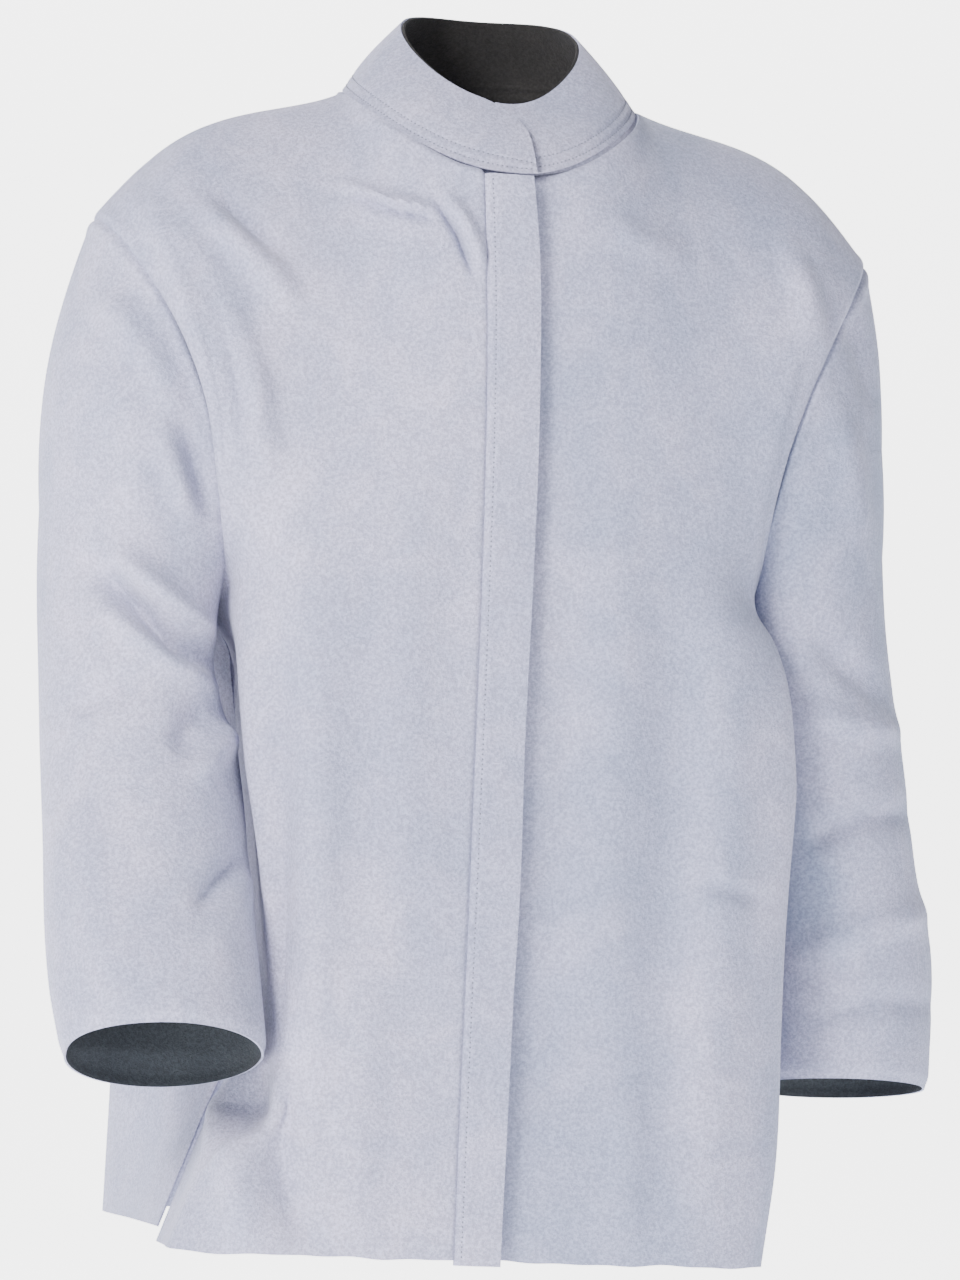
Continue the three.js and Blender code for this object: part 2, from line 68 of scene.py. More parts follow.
camera_data = bpy.data.cameras.new("studio_camera")
camera_data.sensor_fit = "VERTICAL"
camera_data.sensor_height = 24
camera_data.lens = LENS
camera_data.clip_end = 50
camera = bpy.data.objects.new("studio_camera", camera_data)
bpy.context.scene.collection.objects.link(camera)
turn = Matrix((picture_right, picture_up, toward_camera)).transposed()
camera.rotation_euler = turn.to_euler()
aside = picture_right * LOOK_RIGHT + picture_up * LOOK_UP
camera.location = AIM + toward_camera * DISTANCE + aside
bpy.context.scene.camera = camera

world = bpy.data.worlds.new("studio_air")
world.use_nodes = True
air = world.node_tree.nodes["Background"].inputs
air["Color"].default_value = (1, 1, 1, 1)
air["Strength"].default_value = 0.42
bpy.context.scene.world = world


def softbox(name, place, size, power, colour):
    """A square area light that faces the jacket's middle."""
    light = bpy.data.lights.new(name, "AREA")
    light.size = size
    light.energy = power
    light.color = colour
    lamp = bpy.data.objects.new(name, light)
    lamp.location = place
    lamp.rotation_euler = (AIM - Vector(place)).to_track_quat("-Z", "Y").to_euler()
    bpy.context.scene.collection.objects.link(lamp)


softbox("key_light", (-2.6, -2.2, 1.5), 1.2, 300, (1.0, 0.985, 0.975))
softbox("fill_light", (0.6, -3.6, 0.4), 2.0, 24, (0.95, 0.97, 1.0))
softbox("back_light", (0.6, 2.4, 1.6), 1.5, 16, (1.0, 1.0, 1.0))

bpy.ops.object.select_all(action="DESELECT")
bpy.ops.mesh.primitive_plane_add(size=14, location=(0, 2.0, -1.3))
backdrop = bpy.context.object
backdrop.name = "backdrop"
bpy.ops.object.mode_set(mode="EDIT")
bpy.ops.mesh.select_mode(type="EDGE")
bpy.ops.mesh.select_all(action="DESELECT")
bpy.ops.object.mode_set(mode="OBJECT")
for edge in backdrop.data.edges:
    edge.select = all(backdrop.data.vertices[k].co.y > 0 for k in edge.vertices)
bpy.ops.object.mode_set(mode="EDIT")
bpy.ops.mesh.extrude_region_move(TRANSFORM_OT_translate={"value": (0, 0, 12)})
bpy.ops.mesh.select_all(action="SELECT")
bpy.ops.object.mode_set(mode="OBJECT")
sweep = backdrop.modifiers.new("sweep", "BEVEL")
sweep.width = 2.5
sweep.segments = 24
bpy.ops.object.modifier_apply(modifier="sweep")
bpy.ops.object.shade_smooth()
paper = bpy.data.materials.new("backdrop_paper")
paper.use_nodes = True
paper_settings = paper.node_tree.nodes["Principled BSDF"].inputs
paper_settings["Base Color"].default_value = (0.9, 0.9, 0.91, 1)
paper_settings["Roughness"].default_value = 1
paper_settings["Emission Color"].default_value = (1, 1, 1, 1)
paper_settings["Emission Strength"].default_value = 3.2
backdrop.data.materials.append(paper)

# Back panel. One piece of suede from shoulder to hem and side seam to side seam, hanging in
# two soft vertical drapes from the shoulder blades, with a raw-cut hem.

# The suede's nap is matt and pale lavender grey, with bluish clouds where it lies differently.
# LEATHER is its thickness in millimetres; the sizes of its clouds and nap are in metres.
LEATHER = 1.4
SUEDE_LIGHT = (0.455, 0.440, 0.600)
SUEDE_MID = (0.345, 0.352, 0.505)
SUEDE_DEEP = (0.205, 0.250, 0.385)
CLOUD_SIZE, PATCH_SIZE, SCUFF_SIZE = 0.11, 0.035, 0.009
NAP_SIZE, FIBRE_SIZE, NAP_DEPTH = 0.0021, 0.0021 * 0.45, 0.0014


class Value:
    """A shader socket that Python's operators can work on."""

    def __init__(self, tree, socket):
        self.tree = tree
        self.socket = socket

    def math(self, operation, first, second):
        return node(self.tree, "ShaderNodeMath", {"operation": operation}, {0: first, 1: second})

    def __add__(self, other):
        return self.math("ADD", self, other)

    def __mul__(self, other):
        return self.math("MULTIPLY", self, other)

    def __rsub__(self, other):
        return self.math("SUBTRACT", other, self)

    __radd__ = __add__
    __rmul__ = __mul__


def node(tree, kind, settings, inputs, output=0):
    """Makes one node, sets it up, fills its sockets and returns an output."""
    made = tree.nodes.new(kind)
    for key, value in settings.items():
        setattr(made, key, value)
    for key, value in inputs.items():
        if isinstance(value, Value):
            tree.links.new(value.socket, made.inputs[key])
        else:
            made.inputs[key].default_value = value
    return Value(tree, made.outputs[output]) if made.outputs else None


def noise(tree, place, size, detail=3, roughness=0.5, distortion=0.0):
    return node(tree, "ShaderNodeTexNoise", {"noise_dimensions": "3D"}, {
        "Vector": place, "Scale": 1 / size, "Detail": detail, "Roughness": roughness,
        "Distortion": distortion})


def stretched(value, low, high):
    """Spreads the part of a value from low to high over 0 to 1."""
    settings = {"clamp": True, "interpolation_type": "SMOOTHSTEP"}
    return node(value.tree, "ShaderNodeMapRange", settings, {
        "Value": value, "From Min": low, "From Max": high, "To Min": 0.0, "To Max": 1.0})


def mixed(tree, share, first, second, blend="MIX"):
    """Mixes two colours, the second by the share."""
    first, second = (c if isinstance(c, Value) else (*c, 1) for c in (first, second))
    settings = {"data_type": "RGBA", "blend_type": blend}
    return node(tree, "ShaderNodeMix", settings, {0: share, 6: first, 7: second}, 2)


def blank_material(name):
    material = bpy.data.materials.new(name)
    material.use_nodes = True
    material.node_tree.nodes.clear()
    return material


def suede(name, light, mid, deep, shift=(0.0, 0.0, 0.0), sheen=0.25):
    """Napped split leather; shift moves its clouds, so that no two panels match."""
    material = blank_material(name)
    tree = material.node_tree
    coordinates = node(tree, "ShaderNodeTexCoord", {}, {}, "Object")
    place = node(tree, "ShaderNodeMapping", {}, {"Vector": coordinates, "Location": shift})
    drawn = node(tree, "ShaderNodeMapping", {}, {
        "Vector": coordinates, "Location": shift, "Scale": (1, 1, 0.45)})
    clouds = stretched(noise(tree, drawn, CLOUD_SIZE, 4, 0.55, 0.3), 0.38, 0.63)
    patches = stretched(noise(tree, place, PATCH_SIZE, 4, 0.6, 0.6), 0.30, 0.72)
    scuffs = stretched(noise(tree, drawn, SCUFF_SIZE, 3, 0.6), 0.35, 0.75)
    nap = noise(tree, place, NAP_SIZE, 3, 0.75)
    fibre = noise(tree, place, FIBRE_SIZE, 2, 0.7)
    tone = mixed(tree, clouds * 0.9, light, mid)
    tone = mixed(tree, (1 - patches) * 0.36, tone, deep)
    tone = mixed(tree, scuffs * 0.16, tone, mid)
    speck = stretched(nap, 0.36, 0.66)
    shade = node(tree, "ShaderNodeMapRange", {}, {
        "Value": speck * 0.7 + fibre * 0.3, "From Min": 0.0, "From Max": 1.0,
        "To Min": 0.64, "To Max": 1.16})
    grey = node(tree, "ShaderNodeCombineColor", {}, {"Red": shade, "Green": shade, "Blue": shade})
    tone = mixed(tree, 1.0, tone, grey, "MULTIPLY")
    height = nap * 0.6 + fibre * 0.4 + patches * 0.5
    bump = node(tree, "ShaderNodeBump", {}, {
        "Height": height, "Strength": 0.9, "Distance": NAP_DEPTH})
    surface = node(tree, "ShaderNodeBsdfPrincipled", {}, {
        "Base Color": tone, "Roughness": 0.88 + speck * 0.08, "Normal": bump,
        "Specular IOR Level": 0.18, "Sheen Weight": sheen, "Sheen Roughness": 0.45,
        "Sheen Tint": (0.86, 0.88, 0.98, 1.0)})
    node(tree, "ShaderNodeOutputMaterial", {}, {"Surface": surface})
    return material


# The body's curves are its neck seam, its armholes and its section at each height, which
# leaves room for the sleeves beside it. Sizes are in millimetres from here on.
NECK_HALF_WIDTH, NECK_FRONT_Y, NECK_BACK_Y, NECK_DROP = 98, -112, 84, 62
SHOULDER_REACH, SHOULDER_DROP, SHOULDER_RISE = 260, 100, 24
SHOULDER_ANGLE = math.radians(95)
ARMHOLE_HEIGHT, ARMHOLE_DEPTH, ARMHOLE_Y, ARMHOLE_SCOOP = 252, 180, -10, 26
UNDERARM_X = {"right": 175, "left": 185}
UNDERARM_Z = -SHOULDER_DROP - ARMHOLE_HEIGHT
SIDE_SEAM_HEM_Y, BACK_HEM_Y, BACK_HEM_Z = -50, 137, -755
SIDES = {"right": -1, "left": 1}
SLEEVES = {
    "right": {
        "height": [-641, -600, -500, -400, -320, -225],
        "x": [208, 213, 219, 224, 218, 208],
        "y": [-122, -112, -76, -42, -20, -12],
        "half_width": [67, 68, 66, 63, 69, 77],
        "half_depth": [58, 59, 62, 68, 78, 88],
        "tilt": math.radians(22),
    },
    "left": {
        "height": [-651, -560, -500, -405, -320, -225],
        "x": [264, 261, 247, 230, 212, 200],
        "y": [-22, -24, -25, -24, -16, -12],
        "half_width": [62, 62, 62, 63, 70, 72],
        "half_depth": [58, 59, 61, 66, 78, 88],
        "tilt": math.radians(9),
    },
}
SLEEVE_ROOM = 5
ARMHOLE_SHARE, NECK_SHARE, ROLL_SHARE = 0.4, 0.4, 0.28
ACROSS = [0, 0.35, 0.62, 0.80, 0.90, 1]
SIDE_LEVELS = [0.4, 0.46, 0.54, 0.65, 0.78, 0.9, 1]
SIDE_X = {
    "right": [175, 160, 150, 144, 138, 168, 194],
    "left": [185, 166, 156, 166, 180, 188, 192],
}
CORNER_LEVELS = [0.30, 0.40, 0.54, 0.65, 0.78, 0.90, 1]
BACK_CORNER_X = {
    "right": [190, 190, 196, 200, 203, 205, 206],
    "left": [190, 184, 198, 202, 204, 205, 204],
}


def through(places, values, place):
    """A smooth curve through a few keys."""
    places = np.asarray(places, float)
    values = np.asarray(values, float)
    at = np.clip(place, places[0], places[-1])
    slopes = np.gradient(values, places, edge_order=1)
    slopes[1:-1] = (values[2:] - values[:-2]) / (places[2:] - places[:-2])
    k = np.clip(np.searchsorted(places, at, side="right") - 1, 0, len(places) - 2)
    width = places[k + 1] - places[k]
    t = (at - places[k]) / width
    rest = 1 - t
    start = values[k] * (1 + 2 * t) * rest**2 + slopes[k] * width * t * rest**2
    end = values[k + 1] * t * t * (3 - 2 * t) - slopes[k + 1] * width * t * t * rest
    return start + end


def smoothstep(value, low, high):
    t = np.clip((value - low) / (high - low), 0, 1)
    return t * t * (3 - 2 * t)


def stack(x, y, z):
    return np.stack(np.broadcast_arrays(x, y, z), axis=-1).astype(float)


def lerp(a, b, t):
    return a + (b - a) * t


def neck_seam(angle):
    forward = np.cos(angle)
    middle, reach = (NECK_FRONT_Y + NECK_BACK_Y) / 2, (NECK_BACK_Y - NECK_FRONT_Y) / 2
    drop = NECK_DROP * ((1 + forward) / 2) ** 3
    return stack(NECK_HALF_WIDTH * np.sin(angle), middle - reach * forward, -drop)


def armhole_seam(name, angle):
    middle = (SHOULDER_REACH + UNDERARM_X[name]) / 2
    lean = (SHOULDER_REACH - UNDERARM_X[name]) / 2
    x = middle + lean * np.cos(angle) - ARMHOLE_SCOOP * np.sin(angle) ** 2
    y = ARMHOLE_Y - ARMHOLE_DEPTH / 2 * np.sin(angle)
    z = -SHOULDER_DROP - ARMHOLE_HEIGHT / 2 * (1 - np.cos(angle))
    return stack(SIDES[name] * x, y, z)


def sleeve_at(name, z):
    """A sleeve's middle and its half sizes at each height."""
    sleeve = SLEEVES[name]
    keys = ("x", "y", "half_width", "half_depth")
    return [through(sleeve["height"], sleeve[key], z) for key in keys]


def clear_of_sleeve(name, points):
    """Moves points of the body out of the room that the sleeve beside it needs."""
    side, z = SIDES[name], points[..., 2]
    x, y, half_width, half_depth = sleeve_at(name, z)
    cuff = -SLEEVES[name]["height"][0]
    above = smoothstep(-z, SHOULDER_DROP + ARMHOLE_HEIGHT / 2, -UNDERARM_Z - 40)
    below = 1 - smoothstep(-z, cuff + 30, cuff + 110)
    share = np.maximum(above * below, 1e-3)
    dx = side * points[..., 0] - x
    dy = points[..., 1] - y
    away = np.hypot(
        dx / ((half_width + SLEEVE_ROOM) * share), dy / ((half_depth + SLEEVE_ROOM) * share))
    stretch = (1 + np.maximum(away, 1e-3) ** -10) ** 0.1
    return stack(side * (x + dx * stretch), y + dy * stretch, z)


def evened(points, weight, passes):
    """Evens a surface out where the weight says."""
    points = points.copy()
    for _ in range(passes):
        around = points[:-2, 1:-1] + points[2:, 1:-1] + points[1:-1, :-2] + points[1:-1, 2:]
        points[1:-1, 1:-1] = lerp(points[1:-1, 1:-1], around / 4, weight[1:-1, 1:-1, None])
    return points


def side_edge(name, facing, v, hem_z):
    t = (v - ARMHOLE_SHARE) / (1 - ARMHOLE_SHARE)
    below = stack(
        SIDES[name] * through(SIDE_LEVELS, SIDE_X[name], v),
        lerp(ARMHOLE_Y, SIDE_SEAM_HEM_Y, np.clip(t, 0, 1)),
        lerp(UNDERARM_Z, hem_z, t),
    )
    above = armhole_seam(name, facing * np.pi * np.clip(v / ARMHOLE_SHARE, 0, 1))
    return np.where((v <= ARMHOLE_SHARE)[:, None], above, below)


def top_edge(name, start_angle, u):
    side = SIDES[name]
    neck = neck_seam(side * lerp(start_angle, SHOULDER_ANGLE, np.clip(u / NECK_SHARE, 0, 1)))
    t = np.clip((u - NECK_SHARE) / (1 - NECK_SHARE), 0, 1)[:, None]
    seam = lerp(neck_seam(np.array([side * SHOULDER_ANGLE])), armhole_seam(name, np.zeros(1)), t)
    seam[:, 2] += SHOULDER_RISE * np.sin(np.pi * t[:, 0] ** 1.4)
    return np.where((u <= NECK_SHARE)[:, None], neck, seam)


def body_surface(name, facing, start_angle, middle_at, corner_x, hem_z, u, v):
    """A body panel's points, u from its middle edge to its side and v from neck to hem."""
    side = SIDES[name]

    def rows(level):
        middle = middle_at(level)
        edge = side_edge(name, facing, level, hem_z)
        below = smoothstep(level, 0.30, 0.47)
        mx, my = side * middle[:, 0], middle[:, 1]
        ex, ey = side * edge[:, 0], edge[:, 1]
        full = through(CORNER_LEVELS, corner_x, level)
        corner = lerp(0.935 * ex, full, below)
        corner_y = lerp(lerp(my, ey, 0.50), my + facing * 36, below)
        last_x = lerp(0.975 * ex, lerp(corner, ex, 0.55), below)
        last_y = lerp(lerp(my, ey, 0.78), lerp(corner_y, ey, 0.50), below)
        across = [mx, 0.5 * corner, 0.83 * corner, corner, last_x, ex]
        depth = [my, my + facing * 1, my + facing * 9, corner_y, last_y, ey]
        down = [lerp(middle[:, 2], edge[:, 2], min(1, 1.15 * k)) for k in ACROSS]
        keys = np.stack([np.stack(across, 1) * side, np.stack(depth, 1), np.stack(down, 1)], 2)
        basis = np.stack([through(ACROSS, row, u) for row in np.eye(len(ACROSS))])
        return np.einsum("ku,vkc->uvc", basis, keys)

    points = rows(v)
    t = np.clip(v / ROLL_SHARE, 0, 1)
    to_top = top_edge(name, start_angle, u)[:, None, :] - rows(np.zeros(1))
    share = np.stack([(1 - t) ** 2, 1 - np.sqrt(1 - (1 - t) ** 2), (1 - t) ** 2], 1)
    points = points + to_top * share[None]
    sewn = 1 - smoothstep(v, ARMHOLE_SHARE, ARMHOLE_SHARE + 0.05)
    free = 1 - sewn[None, :] * smoothstep(u, 0.62, 1)[:, None]
    points = lerp(points, clear_of_sleeve(name, points), free[..., None])
    neck = smoothstep(v, 0, 0.03) * (1 - smoothstep(v, 0.2, 0.34))
    beside = smoothstep(u, 0.15, 0.3) * (1 - smoothstep(u, 0.6, 0.85))
    points = evened(points, beside[:, None] * neck[None, :], passes=160)
    under = smoothstep(v, 0.32, 0.38) * (1 - smoothstep(v, 0.46, 0.56))
    across = smoothstep(u, 0.45, 0.7) * (1 - smoothstep(u, 0.95, 1))
    return evened(points, across[:, None] * under[None, :], passes=45)


def normals_of(points, ring=False):
    """Unit normals of a grid of points."""
    if ring:
        padded = np.concatenate([points[-1:], points, points[:1]])
        along_u = (padded[2:] - padded[:-2]) / 2
    else:
        along_u = np.gradient(points, axis=0)
    along_v = np.gradient(points, axis=1)
    normal = np.cross(along_u, along_v)
    return normal / np.maximum(np.linalg.norm(normal, axis=-1, keepdims=True), 1e-9)


def outward(points, ring=False):
    """Unit normals that point away from the body, or from a sleeve's own middle."""
    normal = normals_of(points, ring)
    middle = points.mean(0, keepdims=True) if ring else points * (0, 0, 1)
    return normal * np.sign((normal * (points - middle)).sum())


def seamed(points, gap, ring=False, depth=2.0, width=2.0, swell=0.9):
    """Turns a sewn edge in; the gap is each point's distance from that edge."""
    inwards = depth * np.exp(-((gap / width) ** 2)) - swell * np.exp(-(((gap - 6) / 4) ** 2))
    return points - outward(points, ring) * inwards[..., None]


def ripples(points, seed, size, height):
    """Slow, seeded unevenness of hanging leather, as a sum of a few waves in space."""
    rng = np.random.default_rng(seed)
    total = np.zeros(points.shape[:2])
    for _ in range(9):
        direction = rng.normal(size=3) * (1, 1, 0.45)
        direction /= np.linalg.norm(direction)
        wave = size * rng.uniform(0.7, 1.6)
        total += np.sin(points @ direction * 2 * np.pi / wave + rng.uniform(0, 6.28))
    return total / 3 * height


def select_only(piece):
    bpy.ops.object.select_all(action="DESELECT")
    piece.select_set(True)
    bpy.context.view_layer.objects.active = piece


def point_outwards():
    """Turns the faces of the closed mesh that is active outwards."""
    bpy.ops.object.mode_set(mode="EDIT")
    bpy.ops.mesh.select_all(action="SELECT")
    bpy.ops.mesh.normals_make_consistent(inside=False)
    bpy.ops.object.mode_set(mode="OBJECT")


def sheet_object(name, points, materials, ring=False):
    """A leather sheet of even thickness about a grid of points given in millimetres."""
    columns, rows = points.shape[:2]
    vertices = (points / 1000).reshape(-1, 3)
    spans = columns if ring else columns - 1
    inside_out = (normals_of(points, ring) * outward(points, ring)).sum() < 0
    faces = []
    for i in range(spans):
        a, b = i * rows, (i + 1) % columns * rows
        for j in range(rows - 1):
            corners = (a + j, b + j, b + j + 1, a + j + 1)
            faces.append(corners[::-1] if inside_out else corners)
    mesh = bpy.data.meshes.new(name)
    mesh.from_pydata(vertices.tolist(), [], faces)
    for material in materials:
        mesh.materials.append(material)
    made = bpy.data.objects.new(name, mesh)
    bpy.context.scene.collection.objects.link(made)
    select_only(made)
    wall = made.modifiers.new("wall", "SOLIDIFY")
    wall.thickness = LEATHER / 1000
    wall.offset = 0
    wall.material_offset = len(materials) - 1
    bpy.ops.object.modifier_apply(modifier="wall")
    point_outwards()
    bpy.ops.object.shade_smooth_by_angle(angle=math.radians(50))
    return made


def flat_size(points):
    """A sheet's cut width and length, and its area, in metres."""
    across = np.linalg.norm(np.diff(points, axis=0), axis=-1).sum(0).max() / 1000
    down = np.linalg.norm(np.diff(points, axis=1), axis=-1).sum(1).max() / 1000
    a = points[1:, 1:] - points[:-1, :-1]
    b = points[1:, :-1] - points[:-1, 1:]
    area = np.linalg.norm(np.cross(a, b), axis=-1).sum() / 2e6
    return (float(across), float(down)), float(min(area, across * down))


def finish_panel(name, points, materials, cad_nodes, ring=False, body="torso"):
    panel = sheet_object(name, points, materials, ring)
    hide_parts(*cad_nodes)
    flat, area = flat_size(np.concatenate([points, points[:1]]) if ring else points)
    if body:
        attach(panel, body)
    return panel


def sewn_and_cut(points, v, seed):
    """Turns in a body panel's armhole and shoulder edges and cuts its hem a little unevenly."""
    past_armhole = 400 * smoothstep(v, 0.36, 0.42)
    from_side = np.linalg.norm(points - points[-1:], axis=-1) + past_armhole
    from_top = np.linalg.norm(points - points[:, :1], axis=-1)
    points = seamed(points, np.minimum(from_side, from_top))
    rng = np.random.default_rng(seed)
    wander = sum(np.sin(points[:, -1, 0] / wave + rng.uniform(0, 6)) for wave in (31, 17, 9, 5.5))
    points[..., 2] += 0.35 * wander[:, None] * smoothstep(v, 0.9, 1)
    return points


def back_middle(v):
    y = through([0, 0.08, 0.26, 0.46, 1], [NECK_BACK_Y, 100, 127, 133, BACK_HEM_Y], v)
    return stack(0, y, lerp(0, BACK_HEM_Z, v))


down = np.linspace(0, 1, 240) ** 1.15
half = 1 - (1 - np.linspace(0, 1, 92)) ** 1.3
back_right, back_left = (
    body_surface(name, -1, np.pi, back_middle, BACK_CORNER_X[name], BACK_HEM_Z, half, down)
    for name in ("right", "left")
)
back = np.concatenate([back_right[::-1], back_left[1:]])
back_normal = normals_of(back)
hang = smoothstep(-back[..., 2], 200, 600)
DRAPE_DEPTH, DRAPE_SPACING, DRAPES_END = 3.2, 27, 215
drape = DRAPE_DEPTH * np.cos(back[..., 0] / DRAPE_SPACING) * hang
drape *= 1 - (back[..., 0] / DRAPES_END) ** 2
drape += ripples(back, 3, 210, 1.2)
edge_fade = np.sin(np.pi * np.linspace(0, 1, len(back))) ** 0.4
drape *= edge_fade[:, None] * smoothstep(down, 0, 0.1)
back = back + back_normal * drape[..., None]
middle = len(half) - 1
back = np.concatenate([
    sewn_and_cut(back[: middle + 1][::-1], down, 41)[::-1],
    sewn_and_cut(back[middle:], down, 41)[1:],
])
back_suede = suede("suede_back", SUEDE_LIGHT, SUEDE_MID, SUEDE_DEEP)
finish_panel("back", back, [back_suede], ["back_panel"])

# Right front. Pulled from the shoulder and the armhole, so diagonal folds run in towards the
# chest; below the elbow the sleeve presses it in and it hangs in one long soft fold.
FRONT_HEM_Y, FRONT_HEM_Z, FRONT_BULGE = -150, -765, 10
FRONT_CORNER_X = {
    "right": [180, 172, 160, 152, 148, 172, 194],
    "left": [203, 205, 206, 204, 203, 202, 194],
}
FOLD_DEPTH = 2.5
RIGHT_FOLDS = [
    ([(-226, -112), (-212, -151), (-203, -176), (-194, -198), (-187, -220), (-179, -260),
      (-172, -321)], 9, 3.6),
    ([(-236, -88), (-212, -124), (-186, -174), (-168, -212), (-158, -262)], 11, 5.5),
    ([(-222, -104), (-198, -150), (-178, -196), (-170, -240)], 9, -4.5),
    ([(-202, -91), (-182, -110), (-164, -129), (-140, -156)], 9, 4.0),
    ([(-190, -84), (-168, -108), (-150, -124)], 8, -3.0),
    ([(-110, -74), (-82, -84), (-52, -89)], 5, 2.6),
    ([(-108, -79), (-80, -89), (-52, -94)], 2.8, -2.8),
    ([(-46, -78), (-32, -98), (-21, -124)], 5, 2.8),
    ([(-54, -80), (-39, -102), (-27, -130)], 2.8, -3.0),
    ([(-150, -340), (-143, -475), (-136, -640)], 13, -4.5),
    ([(-120, -380), (-117, -500), (-112, -660)], 16, 2.5),
    ([(-126, -635), (-134, -700), (-114, -762)], 10, -4.0),
    ([(-150, -650), (-160, -700), (-150, -765)], 13, 5.0),
    ([(-80, -560), (-84, -680), (-78, -765)], 16, 1.8),
    ([(-60, -250), (-64, -400), (-58, -560)], 20, 1.4),
]


def front_line_y(z):
    t = (z + NECK_DROP) / (FRONT_HEM_Z + NECK_DROP)
    bulge = FRONT_BULGE * np.sin(np.pi * np.clip(t, 0, 1) ** 0.7)
    return lerp(NECK_FRONT_Y, FRONT_HEM_Y, t) - bulge


def placket_seam_x(z):
    return through([-768, -600, -300, -170, -62], [-17, -17, -16, -17, -21], z)


def front_middle(x):
    def middle(v):
        z = lerp(-NECK_DROP, FRONT_HEM_Z, v)
        return stack(placket_seam_x(z) if x is None else x, front_line_y(z), z)

    return middle


def along(points, path, width):
    """How near each point lies, seen from the front, to a fold's line: 1 on it, 0 away from it."""
    path = np.asarray(path, float)
    best = np.full(points.shape[:2], 1e9)
    place = np.zeros(points.shape[:2])
    lengths = np.hypot(*np.diff(path, axis=0).T)
    total = lengths.sum()
    done = 0.0
    for start, end, length in zip(path[:-1], path[1:], lengths):
        step = (end - start) / length
        offset = points[..., (0, 2)] - start
        t = np.clip(offset @ step, 0, length)
        gap = np.hypot(offset[..., 0] - t * step[0], offset[..., 1] - t * step[1])
        nearer = gap < best
        best = np.where(nearer, gap, best)
        place = np.where(nearer, (done + t) / total, place)
        done += length
    taper = np.clip(4 * place * (1 - place) + 0.15, 0, 1)
    return np.exp(-((best / width) ** 2)) * taper


def folded(points, folds, ring=False):
    """Pushes a surface in and out along its folds, each a line, a width and a height."""
    normal = outward(points, ring)
    front = smoothstep(-normal[..., 1], -0.05, 0.4)
    height = sum(along(points, path, width) * high for path, width, high in folds)
    return points + normal * (FOLD_DEPTH * front * height)[..., None]


def closer_at_ends(count):
    """Steps from 0 to 1 that lie closer together at both ends."""
    even = np.linspace(0, 1, count)
    return lerp(even, 0.5 - 0.5 * np.cos(np.pi * even), 0.65)


right_u = closer_at_ends(130)
right_start = math.asin(21 / NECK_HALF_WIDTH)
right = body_surface(
    "right", 1, right_start, front_middle(None), FRONT_CORNER_X["right"], FRONT_HEM_Z, right_u, down)
right = folded(right, RIGHT_FOLDS)
ease = (smoothstep(right_u, 0, 0.15) * (1 - smoothstep(right_u, 0.9, 1)))[:, None]
ease = ease * smoothstep(down, 0, 0.08)
right = right + normals_of(right) * (ripples(right, 5, 160, 1.0) * ease)[..., None]
right = sewn_and_cut(right, down, 42)
right = seamed(right, np.linalg.norm(right - right[:1], axis=-1), swell=0.3, width=1.6)
right_suede = suede("suede_right_front", SUEDE_LIGHT, SUEDE_MID, SUEDE_DEEP, (0.31, 0.2, 0.1))
finish_panel("right_front", right, [right_suede], ["right_front_panel"])

# Left front. Its edge runs under the placket, set back by the layers over it, and past the
# placket it hangs flat with soft vertical streaks.
LEFT_EDGE_X, LEFT_DEPTH, LEVEL_FROM_X = -12, 9.2, 100
LEFT_FOLDS = [
    ([(70, -250), (76, -420), (72, -620)], 18, 1.8),
    ([(112, -300), (118, -470), (112, -700)], 20, -2.0),
    ([(150, -330), (152, -480), (146, -740)], 20, 2.2),
    ([(40, -330), (42, -500), (38, -700)], 14, -1.5),
    ([(136, -518), (160, -521), (181, -526)], 5, -1.6),
    ([(92, -640), (96, -700), (94, -765)], 14, 1.8),
    ([(60, -86), (86, -100), (118, -108)], 10, 1.6),
    ([(190, -92), (204, -130), (210, -170)], 10, 2.4),
]


def left_surface(u, v):
    points = body_surface(
        "left", 1, math.asin(LEFT_EDGE_X / NECK_HALF_WIDTH), front_middle(LEFT_EDGE_X),
        FRONT_CORNER_X["left"], FRONT_HEM_Z, u, v)
    set_back = LEFT_DEPTH * (1 - smoothstep(points[..., 0], 8, LEVEL_FROM_X))
    return points + stack(0, set_back, 0)


def painted_shade_colours(share):
    """The suede's three colours, darkened from light towards deep by a share: painted shade for
    pieces on the side away from the key light.
    """
    rows = np.array([SUEDE_LIGHT, SUEDE_MID, SUEDE_DEEP])
    shade_rows = rows[[1, 2, 2]] * ((1,), (1,), (0.8,))
    return [tuple(map(float, row)) for row in lerp(rows, shade_rows, share)]


left_u = closer_at_ends(130)
left = folded(left_surface(left_u, down), LEFT_FOLDS)
ease = (smoothstep(left_u, 0.1, 0.25) * (1 - smoothstep(left_u, 0.9, 1)))[:, None]
ease = ease * smoothstep(down, 0, 0.08)
left = left + normals_of(left) * (ripples(left, 8, 170, 0.9) * ease)[..., None]
left = sewn_and_cut(left, down, 43)
# The left front's colours are darkened by 0.4 as painted shade, since it lies on the side away from
# the key light.
left_suede = suede("suede_left_front", *painted_shade_colours(0.4), (0.7, 0.45, 0.3))
finish_panel("left_front", left, [left_suede], ["left_front_panel"])

